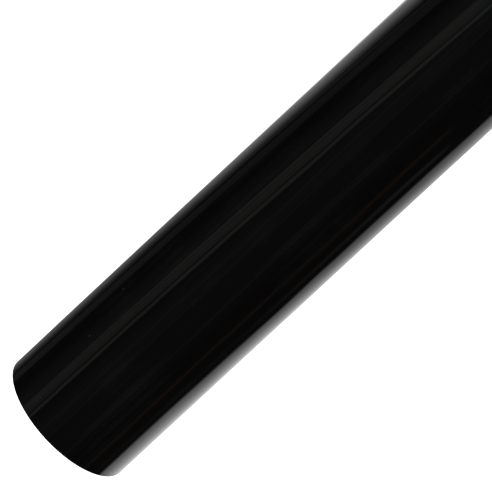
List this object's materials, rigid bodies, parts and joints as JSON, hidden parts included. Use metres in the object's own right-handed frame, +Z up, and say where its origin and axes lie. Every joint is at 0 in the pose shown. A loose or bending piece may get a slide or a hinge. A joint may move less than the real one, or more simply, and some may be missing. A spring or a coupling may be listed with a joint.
{
  "type": "roll of sign vinyl",
  "caption": "Roll of gloss black self-adhesive sign vinyl wound with its release liner on a paperboard core, with a tail that lifts and peels.",
  "frame": {"origin": "on the core's axis, at the middle of the roll's length", "axes": "+X along the core's axis; +Y towards the side where the web's free end lies; +Z up"},
  "size_m": [0.612, 0.1068, 0.1064],
  "materials": {
    "film": "gloss",
    "liner": "satin",
    "core_lining": "matte",
    "core_board": "matte",
    "core_wrap": "matte",
    "starter_tape": "satin",
    "closing_tab": "matte"
  },
  "bodies": {
    "roll": {"core_inner_ply": "core_lining", "core_body_plies": "core_board", "core_outer_ply": "core_wrap", "starter_tape": "starter_tape", "wound_liner": "liner", "wound_film": "film", "film_outer_turn": "film"},
    "tail": {"liner_tail": "liner", "film_lead": "film"},
    "flap": {"film_flap": "film"},
    "tab_1": {"closing_tab_1": "closing_tab"},
    "tab_2": {"closing_tab_2": "closing_tab"},
    "tab_3": {"closing_tab_3": "closing_tab"}
  },
  "joints": [
    {"name": "tail_lift", "type": "hinge", "parent": "roll", "child": "tail", "pos_m": [0, 0.04065, 0.0345], "axis": [1, 0, 0], "range_deg": [0, 45]},
    {"name": "film_peel", "type": "hinge", "parent": "tail", "child": "flap", "pos_m": [0, 0.05048, 0.01716], "axis": [1, 0, 0], "range_deg": [0, 90]},
    {"name": "tab_1_peel", "type": "hinge", "parent": "flap", "child": "tab_1", "pos_m": [-0.225, 0.05346, -0.00057], "axis": [1, 0, 0], "range_deg": [0, 80]},
    {"name": "tab_2_peel", "type": "hinge", "parent": "flap", "child": "tab_2", "pos_m": [0, 0.05346, -0.00057], "axis": [1, 0, 0], "range_deg": [0, 80]},
    {"name": "tab_3_peel", "type": "hinge", "parent": "flap", "child": "tab_3", "pos_m": [0.225, 0.05346, -0.00057], "axis": [1, 0, 0], "range_deg": [0, 80]}
  ]
}
